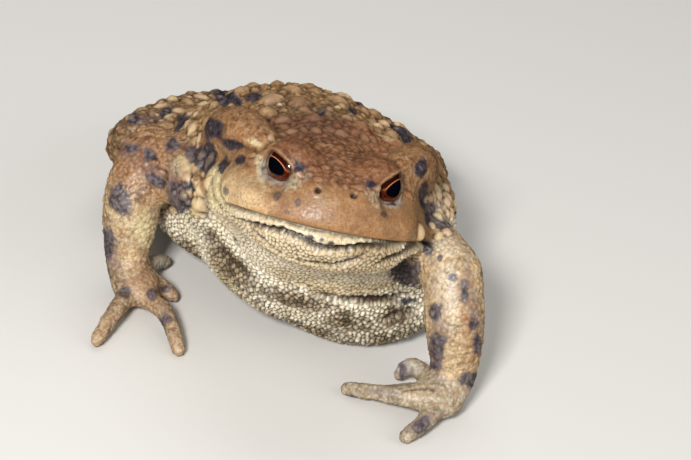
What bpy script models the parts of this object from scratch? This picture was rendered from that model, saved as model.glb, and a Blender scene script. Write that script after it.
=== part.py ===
"""A life-size museum model of an Eichwald's toad, squatting with its head raised.

Metres, +Z up. The toad faces -Y, so its own right side is at -X. It rests on z = 0,
and the origin is under the middle of its box. Lengths below are millimetres until
the last section, which scales and centres every piece.
"""

import math
import random

import bmesh
import bpy
from mathutils import Matrix, Vector
from mathutils.bvhtree import BVHTree

MM = 0.001
GAP = 0.3                                   # left between pieces that meet
SIDES = {"right": -1, "left": 1}            # the toad's own sides, along X

# Driving sizes of the animal
SNOUT_TO_VENT = 97.0
HEAD_WIDTH = 41.0
HEAD_LENGTH = 25.0                          # from the corners of the mouth to the snout
BODY_WIDTH = 59.0
EYE_RADIUS = 4.6
WART_HEIGHT = 0.5                           # as a share of its radius

# Where the head sits, and how it is held
EYES = Vector((0.0, -48.0, 43.0))           # midway between the eyes
HEAD_PITCH = math.radians(12)               # the snout is raised
HEAD_ROLL = math.radians(6)                 # the left side is lower
HEAD_YAW = math.radians(-5)                 # the snout points a little to the right side
HEAD_TURN = (
    Matrix.Rotation(HEAD_YAW, 3, "Z")
    @ Matrix.Rotation(HEAD_ROLL, 3, "Y")
    @ Matrix.Rotation(-HEAD_PITCH, 3, "X")
)

random.seed(9)


# Scene and mesh helpers

def clear_scene():
    for item in list(bpy.data.objects):
        bpy.data.objects.remove(item, do_unlink=True)


def add_object(name, mesh):
    """An object in the scene from a bmesh, which is freed."""
    bmesh.ops.recalc_face_normals(mesh, faces=mesh.faces)
    data = bpy.data.meshes.new(name)
    mesh.to_mesh(data)
    mesh.free()
    item = bpy.data.objects.new(name, data)
    bpy.context.scene.collection.objects.link(item)
    return item


def settle(item):
    """Applies every modifier of an object."""
    graph = bpy.context.evaluated_depsgraph_get()
    data = bpy.data.meshes.new_from_object(item.evaluated_get(graph))
    item.modifiers.clear()
    item.data = data
    return item


def copy_of(item, name):
    twin = bpy.data.objects.new(name, item.data.copy())
    bpy.context.scene.collection.objects.link(twin)
    return twin


def remove(*items):
    for item in items:
        bpy.data.objects.remove(item, do_unlink=True)


def joined(name, items):
    """One object that holds the meshes of several, which are removed."""
    mesh = bmesh.new()
    for item in items:
        mesh.from_mesh(item.data)
    remove(*items)
    return add_object(name, mesh)


def shells(mesh):
    """The separate surfaces of a bmesh, as sets of its faces."""
    left = set(mesh.faces)
    found = []
    while left:
        front = [left.pop()]
        shell = set(front)
        while front:
            for edge in front.pop().edges:
                fresh = [face for face in edge.link_faces if face in left]
                left.difference_update(fresh)
                shell.update(fresh)
                front += fresh
        found.append(shell)
    return found


def volume_of(faces):
    """The volume inside a closed set of triangles."""
    return sum(
        face.verts[0].co.dot(face.verts[1].co.cross(face.verts[2].co)) for face in faces
    ) / 6


def largest_body(item):
    """Keeps only the biggest closed surface of an object."""
    mesh = bmesh.new()
    mesh.from_mesh(item.data)
    bmesh.ops.triangulate(mesh, faces=mesh.faces)
    bodies = sorted(shells(mesh), key=volume_of)
    for body in bodies[:-1]:
        corners = {corner for face in body for corner in face.verts}
        bmesh.ops.delete(mesh, geom=list(corners), context="VERTS")
    mesh.to_mesh(item.data)
    mesh.free()
    return item


def volume(item):
    mesh = bmesh.new()
    mesh.from_mesh(item.data)
    bmesh.ops.triangulate(mesh, faces=mesh.faces)
    total = volume_of(mesh.faces)
    mesh.free()
    return total


def cut_away(item, *cutters):
    """Subtracts the cutters, which are removed, and keeps the biggest body.

    Where the exact solver loses most of a piece, the manifold one makes the cut.
    """
    least = 0.03 * volume(item)
    for cutter in cutters:
        before = item.data
        for solver in ("EXACT", "MANIFOLD"):
            item.data = before
            step = item.modifiers.new("cut", "BOOLEAN")
            step.operation = "DIFFERENCE"
            step.object = cutter
            step.solver = solver
            settle(item)
            if volume(item) > least:
                break
        remove(cutter)
    return largest_body(item)


def thinned(item, triangles):
    """Collapses a mesh to about this many triangles."""
    thin = item.modifiers.new("thin", "DECIMATE")
    thin.ratio = min(1.0, triangles / (2 * len(item.data.polygons)))
    return settle(item)


def grown(item, distance=1.5 * GAP):
    """A copy of a piece, pushed out along its normals, to cut its neighbours with."""
    twin = copy_of(item, item.name + "_grown")
    step = twin.modifiers.new("grow", "DISPLACE")
    step.strength = distance
    step.mid_level = 0.0
    grid = twin.modifiers.new("grid", "REMESH")
    grid.mode = "VOXEL"
    grid.voxel_size = 0.7
    settle(twin)
    return thinned(twin, 1.5 * len(item.data.polygons))


def clear_of(item, *neighbours):
    return cut_away(item, *(grown(neighbour) for neighbour in neighbours))


def half_space(point, normal, name="half"):
    """A big block whose one face holds the point, lying on the side the normal points to."""
    size = 160.0
    mesh = bmesh.new()
    bmesh.ops.create_cube(mesh, size=size)
    bmesh.ops.translate(mesh, verts=mesh.verts, vec=(0, 0, size / 2))
    turn = Vector((0, 0, 1)).rotation_difference(Vector(normal)).to_matrix()
    bmesh.ops.rotate(mesh, verts=mesh.verts, matrix=turn, cent=(0, 0, 0))
    bmesh.ops.translate(mesh, verts=mesh.verts, vec=point)
    return add_object(name, mesh)


def parted(item, point, normal, near_name, far_name):
    """Splits a piece at a plane, half a gap each way, into near and far pieces."""
    normal = Vector(normal).normalized()
    point = Vector(point)
    near = copy_of(item, near_name)
    far = copy_of(item, far_name)
    remove(item)
    cut_away(near, half_space(point - normal * GAP / 2, normal))
    cut_away(far, half_space(point + normal * GAP / 2, -normal))
    return near, far


def on_floor(item):
    """Trims what reaches below the floor, which leaves the flats that the toad rests on."""
    return cut_away(item, half_space((0, 0, 0), (0, 0, -1)))


# Shapes

def ball(centre, radii, turn=Matrix.Identity(3), fineness=3):
    """An ellipsoid."""
    mesh = bmesh.new()
    bmesh.ops.create_icosphere(mesh, subdivisions=fineness, radius=1.0)
    bmesh.ops.scale(mesh, verts=mesh.verts, vec=radii)
    bmesh.ops.rotate(mesh, verts=mesh.verts, matrix=turn, cent=(0, 0, 0))
    bmesh.ops.translate(mesh, verts=mesh.verts, vec=centre)
    return add_object("ball", mesh)


def smooth_stations(stations, steps=5):
    """Points and radii read from a Catmull-Rom curve through the given ones."""
    ends = [stations[0], *stations, stations[-1]]
    path = []
    for before, start, end, after in zip(ends, ends[1:], ends[2:], ends[3:]):
        for step in range(steps):
            t = step / steps
            path.append(
                tuple(
                    0.5 * (2 * b + (c - a) * t + (2 * a - 5 * b + 4 * c - d) * t * t
                           + (3 * b - a - 3 * c + d) * t ** 3)
                    for a, b, c, d in zip(before, start, end, after)
                )
            )
    path.append(tuple(stations[-1]))
    return path


def loft(rings):
    """A closed surface through rings of equal counts, with flat ends."""
    mesh = bmesh.new()
    loops = [[mesh.verts.new(point) for point in ring] for ring in rings]
    count = len(rings[0])
    for near, far in zip(loops, loops[1:]):
        for i in range(count):
            j = (i + 1) % count
            mesh.faces.new((near[i], near[j], far[j], far[i]))
    mesh.faces.new(loops[0])
    mesh.faces.new(loops[-1])
    return add_object("loft", mesh)


def tube(stations, flat=1.0, sides=12, steps=5):
    """A round limb along (x, y, z, radius) stations, with rounded ends, squeezed in height by flat."""
    up = Vector((0, 0, 1))
    path = smooth_stations(stations, steps)
    points = [Vector(station[:3]) for station in path]
    rings = []
    for i, station in enumerate(path):
        ahead = points[min(i + 1, len(points) - 1)] - points[max(i - 1, 0)]
        ahead.normalize()
        across = ahead.cross(up).normalized()
        above = across.cross(ahead)
        radius = station[3]
        rings.append([
            points[i]
            + across * (radius * math.cos(angle))
            + above * (radius * flat * math.sin(angle))
            for angle in (math.tau * k / sides for k in range(sides))
        ])
    ends = [
        ball(points[k], (path[k][3],) * 3, fineness=2)
        for k in (0, -1)
    ]
    if flat != 1.0:
        for end, k in zip(ends, (0, -1)):
            for corner in end.data.vertices:
                corner.co.z = points[k].z + (corner.co.z - points[k].z) * flat
    return joined("tube", [loft(rings), *ends])


def fused(name, pieces, voxel, rounds, triangles):
    """The pieces as one skin: fused on a fine grid, smoothed, and thinned to a budget."""
    item = joined(name, pieces)
    grid = item.modifiers.new("grid", "REMESH")
    grid.mode = "VOXEL"
    grid.voxel_size = voxel
    soft = item.modifiers.new("soft", "SMOOTH")
    soft.factor = 0.5
    soft.iterations = rounds
    settle(item)
    return thinned(item, triangles)


def warts_on(item, spots):
    """Adds low domes to a piece at (place, radius) spots, snapped to its surface."""
    tree = BVHTree.FromObject(item, bpy.context.evaluated_depsgraph_get())
    domes = bpy.data.collections.new("domes")
    for place, radius in spots:
        found, normal, _, _ = tree.find_nearest(Vector(place))
        mesh = bmesh.new()
        bmesh.ops.create_uvsphere(mesh, u_segments=7, v_segments=4, radius=radius)
        bmesh.ops.scale(mesh, verts=mesh.verts, vec=(1.0, 1.0, WART_HEIGHT))
        turn = Vector((0, 0, 1)).rotation_difference(normal).to_matrix()
        bmesh.ops.rotate(mesh, verts=mesh.verts, matrix=turn, cent=(0, 0, 0))
        bmesh.ops.translate(mesh, verts=mesh.verts, vec=found)
        domes.objects.link(add_object("dome", mesh))
    step = item.modifiers.new("domes", "BOOLEAN")
    step.operation = "UNION"
    step.operand_type = "COLLECTION"
    step.collection = domes
    settle(item)
    remove(*domes.objects)
    bpy.data.collections.remove(domes)
    return largest_body(item)


# Head

LIP_FRONT = -6.3                            # height of the mouth line at the snout
LIP_FALL = 5.4                              # how much lower its corners are
MOUTH_CORNER = -12.5                        # how far behind the eyes the mouth ends
EYE_CENTRE = (7.1, -0.2, -0.4)              # side, forward, up
EYE_GAZE = Vector((0.76, 0.60, 0.24)).normalized()
EYE_OPENING = (3.9, 3.0)                    # half length and half height between the lids
NOSTRIL = (3.5, 8.8, -0.1)


def head_spot(side, forward, up):
    """A place on the head, from the point midway between the eyes."""
    return EYES + HEAD_TURN @ Vector((side, -forward, up))


def head_way(side, forward, up):
    """A direction on the head."""
    return HEAD_TURN @ Vector((side, -forward, up))


def mouth_spot(angle, out=0.0, up=0.0):
    """A place on the line of the mouth: 0 at the snout, plus or minus pi/2 at the corners."""
    side = (HEAD_WIDTH / 2 + out) * math.sin(angle)
    forward = MOUTH_CORNER + (HEAD_LENGTH + out) * math.cos(angle)
    return head_spot(side, forward, LIP_FRONT - LIP_FALL * (1 - math.cos(angle)) + up)


def jaw_half_width(forward):
    reach = min(1.0, max(0.0, (forward - MOUTH_CORNER) / HEAD_LENGTH))
    return HEAD_WIDTH / 2 * math.sqrt(1 - reach ** 2)


def mouth_height(half):
    """The height of the mouth line where the head is this wide."""
    share = min(1.0, half / (HEAD_WIDTH / 2))
    return LIP_FRONT - LIP_FALL * (1 - math.sqrt(1 - share ** 2))


def skull():
    """The upper head, lofted from the back of the skull to the snout."""
    # forward, height of the top
    profile = (
        (-24.0, 1.0),
        (-16.0, 2.6),
        (-10.0, 3.4),
        (-4.0, 3.5),
        (1.0, 3.1),
        (5.0, 2.2),
        (8.5, 0.9),
        (10.8, -0.9),
        (12.0, -3.0),
        (12.4, -4.6),
    )
    rings = []
    for forward, top in smooth_stations(profile, 3):
        half = max(jaw_half_width(forward), 2.2)
        lip = mouth_height(half)
        ring = []
        for k in range(24):
            angle = math.tau * k / 24
            across, rise = math.cos(angle), math.sin(angle)
            if rise >= 0:
                side = half * math.copysign(abs(across) ** 1.25, across)
                up = lip + (top - lip) * rise ** 0.9
            else:
                side = half * across * 0.97
                up = lip + 4.0 * rise
            ring.append(head_spot(side, forward, up))
        rings.append(ring)
    return loft(rings)


def lower_jaw():
    """The jaw and the throat under it."""
    # forward, depth of the throat
    profile = ((-20, -21), (-12, -19.5), (-5, -17.2), (2, -14.2), (7, -11.6), (10, -10.0), (11.2, -9.0))
    rings = []
    for forward, deep in smooth_stations(profile, 3):
        half = max(jaw_half_width(forward) - 0.9, 2.0)
        lip = mouth_height(half)
        ring = []
        for k in range(24):
            angle = math.tau * k / 24
            rise = math.sin(angle)
            up = lip + (1.0 if rise > 0 else lip - deep) * rise
            ring.append(head_spot(half * math.cos(angle), forward, up))
        rings.append(ring)
    return loft(rings)


def jaw_rim(out, up, radius):
    """A rounded rim that follows the mouth from corner to corner."""
    stations = []
    for k in range(-8, 9):
        angle = math.pi / 2 * k / 8
        stations.append((*mouth_spot(angle, out, up), radius))
    return tube(stations, steps=3)


def head_blobs():
    turn = HEAD_TURN
    pieces = [skull(), lower_jaw(), jaw_rim(-1.0, 1.3, 1.2), jaw_rim(-1.4, -1.3, 1.0)]
    for side in SIDES.values():
        ridge = [(*head_spot(side * 6.4, 3.5, 0.2), 2.3), (*head_spot(side * 3.5, 8.4, -0.9), 1.8)]
        gland = [
            (*head_spot(side * 12.0, -8.0, 0.6), 2.8),
            (*head_spot(side * 14.8, -12.5, 0.6), 4.2),
            (*head_spot(side * 17.0, -18.5, -0.6), 4.8),
            (*head_spot(side * 18.6, -24.0, -3.2), 4.0),
            (*head_spot(side * 19.2, -28.5, -6.5), 2.6),
        ]
        pieces += [
            # brow and lids round the eye
            ball(head_spot(side * 7.5, -0.7, -0.1), (5.2, 6.6, 5.1), turn),
            # side of the head between the brow and the parotoid
            ball(head_spot(side * 11.0, -9.0, -3.5), (6.0, 8.0, 6.0), turn),
            # cheek under the eye
            ball(head_spot(side * 12.2, -1.5, -5.6), (4.6, 9.0, 3.8), turn),
            tube(ridge),
            lid_rim(side),
            # disc of the ear
            ball(head_spot(side * 14.6, -8.6, -3.8), (2.2, 2.6, 2.6), turn),
            # angle of the jaw
            ball(head_spot(side * 17.6, -13.0, -9.6), (3.4, 4.6, 4.0), turn),
            # parotoid gland, from behind the eye to above the shoulder
            tube(gland),
        ]
    # chin
    pieces.append(ball(head_spot(0, 5.0, -9.0), (9.0, 5.6, 2.6), turn))
    # throat fold under the chin
    pieces.append(ball(head_spot(0.8, -1.0, -11.4), (15.0, 11.6, 4.6), turn))
    return pieces


def neck_blobs():
    return [
        ball((0.5, -26.0, 29.5), (20.0, 14.0, 12.5)),
        ball((-11.0, -25.0, 30.5), (9.5, 13.0, 9.5)),
        ball((12.0, -26.0, 29.5), (9.5, 13.0, 9.5)),
        ball((2.0, -38.0, 25.0), (17.0, 10.0, 8.5)),
    ]


def mouth_groove():
    """A cutter for the line between the lips."""
    rings = []
    for k in range(-24, 25):
        angle = math.radians(86) * k / 24
        section = ((1.5, 0.36), (-1.7, 0.12), (-1.7, -0.12), (1.5, -0.36))
        rings.append([mouth_spot(angle, out, up) for out, up in section])
    return loft(rings)


def eye_frame(side):
    """The centre of an eyeball, and its gaze, forward and upward directions."""
    across, forward, up = EYE_CENTRE
    centre = head_spot(side * across, forward, up)
    gaze = head_way(side * EYE_GAZE.x, EYE_GAZE.y, EYE_GAZE.z)
    lift = head_way(side * 0.1, 0.28, 1.0)
    along = lift.cross(gaze).normalized()
    return centre, gaze, along, gaze.cross(along)


def eyeball(side_name):
    side = SIDES[side_name]
    centre, gaze, along, lift = eye_frame(side)
    mesh = bmesh.new()
    bmesh.ops.create_uvsphere(mesh, u_segments=20, v_segments=10, radius=EYE_RADIUS)
    turn = Vector((0, 0, 1)).rotation_difference(gaze).to_matrix()
    bmesh.ops.rotate(mesh, verts=mesh.verts, matrix=turn, cent=(0, 0, 0))
    bmesh.ops.translate(mesh, verts=mesh.verts, vec=centre)
    return add_object("eye_" + side_name, mesh)


def lid_rim(side):
    """The rounded edge of the lids, all round the eye."""
    centre, gaze, along, lift = eye_frame(side)
    length, height = (half + 0.5 for half in EYE_OPENING)
    ball_radius = EYE_RADIUS + 0.5
    stations = []
    for k in range(17):
        angle = math.tau * k / 16
        a, b = length * math.cos(angle), height * math.sin(angle)
        depth = math.sqrt(max(ball_radius ** 2 - a * a - b * b, 1.0))
        stations.append((*(centre + gaze * depth + along * a + lift * b), 0.8))
    return tube(stations, steps=2, sides=8)


def lid_opening(side):
    """A cutter for the almond between the lids."""
    centre, gaze, along, lift = eye_frame(side)
    length, height = EYE_OPENING
    rings = []
    for reach in (1.5, 9.0):
        rings.append([
            centre + gaze * reach
            + along * (length * math.cos(angle))
            + lift * (height * math.copysign(abs(math.sin(angle)) ** 1.1, math.sin(angle)))
            for angle in (math.tau * k / 24 for k in range(24))
        ])
    return loft(rings)


def nostril(side):
    across, forward, up = NOSTRIL
    return ball(head_spot(side * across, forward, up), (0.55, 0.75, 0.8), HEAD_TURN, 2)


def head_warts():
    """Large warts of the crown, the nape and the angle of the jaw."""
    spots = []
    for side in SIDES.values():
        spots += [
            (head_spot(side * 20.0, -16.8, -8.6), 1.9),
            (head_spot(side * 20.0, -16.0, -4.8), 1.5),
        ]
    for row in range(4):
        for k in range(5 - row % 2):
            across = (k - 2 + 0.5 * (row % 2)) * 3.8 + random.uniform(-0.8, 0.8)
            spot = head_spot(across, -8.5 - 3.6 * row + random.uniform(-0.8, 0.8), 4.0)
            spots.append((spot, random.uniform(0.9, 1.5)))
    return spots


# Torso

def torso_blobs():
    half = BODY_WIDTH / 2
    vent = SNOUT_TO_VENT - 63.0                 # how far back the vent lies
    return [
        # chest, held up by the arms
        ball((5.0, -18.0, 18.5), (half - 3.5, 28.0, 19.5)),
        # belly, sagging to the left side between the hands
        ball((12.0, -22.5, 9.0), (19.0, 20.5, 11.5)),
        # withers, the highest part of the back
        ball((-2.5, -14.0, 26.8), (22.0, 16.5, 14.5)),
        # shoulders
        ball((-17.5, -24.0, 25.0), (8.0, 9.0, 8.0)),
        ball((18.0, -28.0, 23.5), (8.0, 9.0, 8.0)),
        # flanks
        ball((0.5, -2.0, 14.0), (half, 26.0, 15.5)),
        # rump, down to the vent
        ball((0.5, 15.0, 10.0), (half - 7.0, 18.0, 12.5)),
        ball((0.0, vent - 8.5, 8.0), (11.0, 8.5, 7.5)),
    ]


def torso_warts():
    """Rounded warts in uneven rows over the back and flanks."""
    spots = []
    for row in range(7):
        along = -16.0 + 6.6 * row
        for k in range(-3, 4):
            lean = math.radians(27 * k + 13 * (row % 2) + random.uniform(-6, 6))
            centre = Vector((0.0, along + random.uniform(-1.5, 1.5), 8.0))
            spots.append((
                centre + Vector((math.sin(lean), 0, math.cos(lean))) * 34.0,
                random.uniform(1.2, 2.0),
            ))
    return spots


# Limbs: places, and a finger as its root, knuckle and tip

ARMS = {
    "right": dict(
        shoulder=(-18.5, -25.0, 25.0),
        elbow=(-29.3, -11.5, 25.6),
        bend=(-32.0, -17.0, 19.0),
        wrist=(-32.4, -21.4, 6.2),
        palm=(-30.3, -26.0, 3.6),
        fingers=(
            ((-31.6, -28.0, 3.4), (-35.0, -35.5, 3.0), (-38.3, -42.4, 1.3)),
            ((-29.2, -28.6, 3.4), (-25.0, -34.6, 3.4), (-22.8, -44.2, 1.3)),
            ((-29.0, -24.6, 3.4), (-25.6, -23.8, 3.0), (-22.7, -25.4, 1.3)),
            ((-29.6, -22.0, 3.8), (-26.8, -17.2, 3.6), (-23.6, -12.6, 1.5)),
        ),
    ),
    "left": dict(
        shoulder=(19.0, -29.0, 23.5),
        elbow=(25.4, -47.6, 24.6),
        bend=(26.0, -51.6, 18.0),
        wrist=(27.8, -54.4, 6.4),
        palm=(24.6, -58.0, 3.8),
        fingers=(
            ((24.2, -55.4, 4.0), (20.8, -48.8, 4.6), (18.6, -48.4, 1.7)),
            ((22.8, -57.4, 3.8), (19.2, -56.0, 3.4), (15.1, -54.4, 1.3)),
            ((22.6, -59.6, 3.6), (14.6, -57.6, 3.6), (7.9, -53.2, 1.3)),
            ((23.2, -61.2, 3.4), (20.6, -65.0, 2.6), (16.8, -68.0, 1.3)),
        ),
    ),
}


def arm(side):
    """The upper arm, the forearm and the hand of one side, parted at the elbow and wrist."""
    sizes = {key: value for key, value in ARMS[side].items() if key != "fingers"}
    shoulder, elbow, bend, wrist, palm = (Vector(place) for place in sizes.values())
    pieces = [
        tube([(*shoulder, 6.6), (*elbow, 5.2)]),
        tube([(*elbow, 5.2), (*bend, 5.5), (*bend.lerp(wrist, 0.6), 4.8), (*wrist, 3.7)]),
        tube([(*wrist, 3.8), (*palm, 4.6)], 0.8),
    ]
    for root, knuckle, tip in ARMS[side]["fingers"]:
        pieces.append(tube([(*root, 1.9), (*knuckle, 1.6), (*tip, 1.4)]))
    limb = fused("arm_" + side, pieces, 0.5, 3, 1500)
    on_floor(limb)
    fold = (elbow - shoulder).normalized() + (bend - elbow).normalized()
    upper_arm, rest = parted(limb, elbow, fold, "upper_arm_" + side, "rest")
    # just above the wrist, so that every finger stays with the hand
    cuff = wrist.lerp(bend, 0.16)
    forearm, hand = parted(rest, cuff, (0, 0, -1), "forearm_" + side, "hand_" + side)
    return upper_arm, forearm, hand


# Legs, the same on both sides but for the right knee, which is held higher
HIP = (9.5, 26.0, 11.0)
KNEE = {"right": (29.2, 9.0, 16.2), "left": (28.8, 9.0, 14.0)}
HEEL = (17.5, 35.0, 5.5)
SOLE = {"right": (23.5, 24.0, 3.2), "left": (25.5, 21.5, 3.2)}
TOES = ((8.0, -8.0), (11.5, 6.0), (15.5, 18.0), (19.5, 30.0), (13.5, 48.0))   # length, spread


def leg(side, torso):
    """The thigh, the shank and the foot of one side, folded against the body."""
    sign = SIDES[side]
    hip, knee, heel, sole = (Vector((sign * x, y, z)) for x, y, z in (HIP, KNEE[side], HEEL, SOLE[side]))
    thigh = [tube([(*hip, 8.5), (*hip.lerp(knee, 0.5), 8.4), (*knee, 6.0)])]
    top = knee + Vector((sign * 1.5, 1.5, -2.0))
    shank = [tube([(*top, 5.2), (*top.lerp(heel, 0.4), 6.0), (*heel, 3.6)])]
    foot = [tube([(*heel, 3.6), (*sole, 3.8)], 0.8)]
    middles = []
    for length, spread in TOES:
        angle = math.radians(spread)
        tip = sole + Vector((sign * math.sin(angle), -math.cos(angle), 0)) * length
        tip.z = 1.3
        middles.append(sole.lerp(tip, 0.5))
        foot.append(tube([(*sole, 2.2), (*middles[-1], 1.7), (*tip, 1.35)]))
    for near, far in zip(middles, middles[1:]):
        # web between two toes
        turn = Matrix.Rotation(math.atan2(far.x - near.x, near.y - far.y), 3, "Z")
        foot.append(ball((near + far) / 2 - Vector((0, 0, 0.9)), (2.6, (far - near).length * 0.6, 0.8), turn))
    thigh = on_floor(fused("thigh_" + side, thigh, 0.8, 4, 340))
    shank = on_floor(fused("shank_" + side, shank, 0.8, 4, 340))
    foot = on_floor(fused("foot_" + side, foot, 0.5, 3, 900))
    clear_of(foot, torso)
    clear_of(shank, torso, foot)
    clear_of(thigh, torso, foot, shank)


# The whole animal

COLOURS = {
    "head": (0.33, 0.19, 0.11),
    "torso": (0.36, 0.24, 0.15),
    "eye": (0.05, 0.02, 0.02),
    "upper_arm": (0.44, 0.31, 0.22),
    "forearm": (0.50, 0.38, 0.27),
    "hand": (0.46, 0.38, 0.30),
    "thigh": (0.36, 0.24, 0.16),
    "shank": (0.38, 0.26, 0.17),
    "foot": (0.40, 0.31, 0.22),
}


TRIANGLES = {
    "upper_arm": 300,
    "forearm": 340,
    "hand": 760,
    "thigh": 340,
    "shank": 320,
    "foot": 700,
}


def kind_of(item):
    return item.name.removesuffix("_left").removesuffix("_right")


def paint(item):
    """Gives a node its own material, in the colour of its kind."""
    kind = kind_of(item)
    material = bpy.data.materials.new(item.name)
    material.use_nodes = True
    shader = material.node_tree.nodes["Principled BSDF"]
    shader.inputs["Base Color"].default_value = (*COLOURS[kind], 1.0)
    shader.inputs["Roughness"].default_value = 0.08 if kind == "eye" else 0.55
    shader.inputs["Metallic"].default_value = 0.0
    item.data.materials.clear()
    item.data.materials.append(material)


def build():
    clear_scene()
    body = fused("body", neck_blobs() + torso_blobs(), 0.9, 40, 20000)
    whole = joined("whole", [body, *head_blobs()])
    head = fused("head", [copy_of(whole, "front")], 0.45, 4, 5000)
    torso = fused("torso", [whole], 0.7, 4, 2600)
    on_floor(torso)
    warts_on(head, head_warts())
    warts_on(torso, torso_warts())
    # the neck plane leans back over the shoulders
    neck = Vector((0.0, -33.0, 30.0))
    lean = Vector((0.0, -26.0, 24.0)).normalized()
    cut_away(head, half_space(neck + lean * GAP / 2, -lean))
    cut_away(torso, half_space(neck - lean * GAP / 2, lean))
    cut_away(head, mouth_groove())
    for name, side in SIDES.items():
        eye = eyeball(name)
        cut_away(head, lid_opening(side), nostril(side))
        clear_of(head, eye)
    for side in SIDES:
        upper_arm, forearm, hand = arm(side)
        clear_of(upper_arm, torso, head)
        clear_of(forearm, torso)
        leg(side, torso)
    for piece in bpy.data.objects:
        if kind_of(piece) in TRIANGLES:
            thin = piece.modifiers.new("thin", "DECIMATE")
            thin.ratio = min(1.0, TRIANGLES[kind_of(piece)] / len(piece.data.polygons))
            settle(piece)


def floor_middle():
    """The place on the floor under the middle of the whole model's box."""
    places = [corner.co for piece in bpy.data.objects for corner in piece.data.vertices]
    spans = [(min(place[k] for place in places), max(place[k] for place in places)) for k in (0, 1)]
    return Vector((sum(spans[0]) / 2, sum(spans[1]) / 2, 0.0))


build()
BOX_MIDDLE = floor_middle()
for piece in bpy.data.objects:
    paint(piece)
    piece.data.transform(Matrix.Scale(MM, 4) @ Matrix.Translation(-BOX_MIDDLE))
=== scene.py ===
"""The looks of a life-size toad: one warty skin over the solids, wet eyes and a plain studio.

The frame is in metres. The skin is worked out in millimetres and scaled once, when it
is finished. The toad faces -Y, and its own right side is at -X.
"""

import itertools
import math
import random

import bmesh
import bpy
import numpy as np
from mathutils import Matrix, Vector
from mathutils.bvhtree import BVHTree
from mathutils.kdtree import KDTree


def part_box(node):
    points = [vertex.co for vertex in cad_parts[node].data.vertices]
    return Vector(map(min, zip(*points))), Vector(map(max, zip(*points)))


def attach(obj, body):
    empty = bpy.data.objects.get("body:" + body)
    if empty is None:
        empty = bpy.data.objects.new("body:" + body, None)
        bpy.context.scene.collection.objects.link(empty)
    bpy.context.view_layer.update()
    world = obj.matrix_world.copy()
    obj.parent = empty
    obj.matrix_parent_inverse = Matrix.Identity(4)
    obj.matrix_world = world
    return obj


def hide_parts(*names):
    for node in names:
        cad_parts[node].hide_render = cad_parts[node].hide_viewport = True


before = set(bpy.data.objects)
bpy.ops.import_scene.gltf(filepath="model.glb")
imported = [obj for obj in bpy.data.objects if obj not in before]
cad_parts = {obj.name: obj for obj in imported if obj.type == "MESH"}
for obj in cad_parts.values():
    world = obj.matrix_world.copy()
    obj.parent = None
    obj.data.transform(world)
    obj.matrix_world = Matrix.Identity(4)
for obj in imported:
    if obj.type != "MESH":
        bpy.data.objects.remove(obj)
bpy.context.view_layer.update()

MM = 0.001
SIDES = {"right": -1, "left": 1}
SEED = 4
random.seed(SEED)
chance = np.random.default_rng(SEED)


# The head, as the solids hold it

HEAD_WIDTH = 41.0
HEAD_LENGTH = 25.0
MOUTH_CORNER = -12.5  # where the mouth ends, forward of the eyes
LIP_FRONT = -6.3  # height of the mouth line at the snout
LIP_FALL = 5.4  # how much lower its corners are
PLAIN_EYE = (7.1, -0.2, -0.4)  # side, forward and up of the solids' eyeballs
EYE_CENTRE = (7.6, -0.4, 0.2)  # the same for the fine ones
EYE_RADIUS = 4.7
# the head is turned a little to its right, leans, and is raised
HEAD_TURN = (
    Matrix.Rotation(math.radians(-5), 3, "Z")
    @ Matrix.Rotation(math.radians(6), 3, "Y")
    @ Matrix.Rotation(math.radians(-12), 3, "X")
)


def placed(name, data):
    """A new object in the scene."""
    item = bpy.data.objects.new(name, data)
    bpy.context.scene.collection.objects.link(item)
    return item


def finished(name, builder):
    """The mesh that a builder holds."""
    data = bpy.data.meshes.new(name)
    builder.to_mesh(data)
    builder.free()
    return data


def node_middle(name):
    low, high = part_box(name)
    return (low + high) / 2 / MM


def head_way(side, forward, up):
    """A direction on the head."""
    return HEAD_TURN @ Vector((side, -forward, up))


BETWEEN_EYES = (node_middle("eye_left") + node_middle("eye_right")) / 2
BETWEEN_EYES -= head_way(0.0, PLAIN_EYE[1], PLAIN_EYE[2])


def head_spot(side, forward, up):
    """A place on the head, from the point midway between the eyes."""
    return BETWEEN_EYES + head_way(side, forward, up)


def head_axes(points):
    """How far each point lies to the left side, forward and up on the head."""
    turned = (points - np.array(BETWEEN_EYES)) @ np.array(HEAD_TURN)
    return turned[:, 0], -turned[:, 1], turned[:, 2]


# Camera

PHOTO_SIZE = (691, 460)
EYES_PIXEL = (334, 178)  # where the point between the eyes shows
VIEW_TURN = math.radians(-12)
VIEW_RISE = math.radians(30)
VIEW_ROLL = math.radians(10)
VIEW_DISTANCE = 420.0
LENS = 122.5
SENSOR = 36.0

camera_back = Vector((
    math.sin(VIEW_TURN) * math.cos(VIEW_RISE),
    -math.cos(VIEW_TURN) * math.cos(VIEW_RISE),
    math.sin(VIEW_RISE),
))
level_right = Vector((math.cos(VIEW_TURN), math.sin(VIEW_TURN), 0.0))
level_up = level_right.cross(-camera_back)
camera_right = level_right * math.cos(VIEW_ROLL) + level_up * math.sin(VIEW_ROLL)
camera_up = level_up * math.cos(VIEW_ROLL) - level_right * math.sin(VIEW_ROLL)
PIXELS = PHOTO_SIZE[0] * LENS / SENSOR  # for each unit of slope


def slopes(pixel):
    """How far right and up of the view's middle a pixel looks."""
    return (
        (pixel[0] - PHOTO_SIZE[0] / 2) / PIXELS,
        (PHOTO_SIZE[1] / 2 - pixel[1]) / PIXELS,
    )


across_eyes, above_eyes = slopes(EYES_PIXEL)
camera_place = BETWEEN_EYES + VIEW_DISTANCE * (
    camera_back - camera_right * across_eyes - camera_up * above_eyes
)


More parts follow.
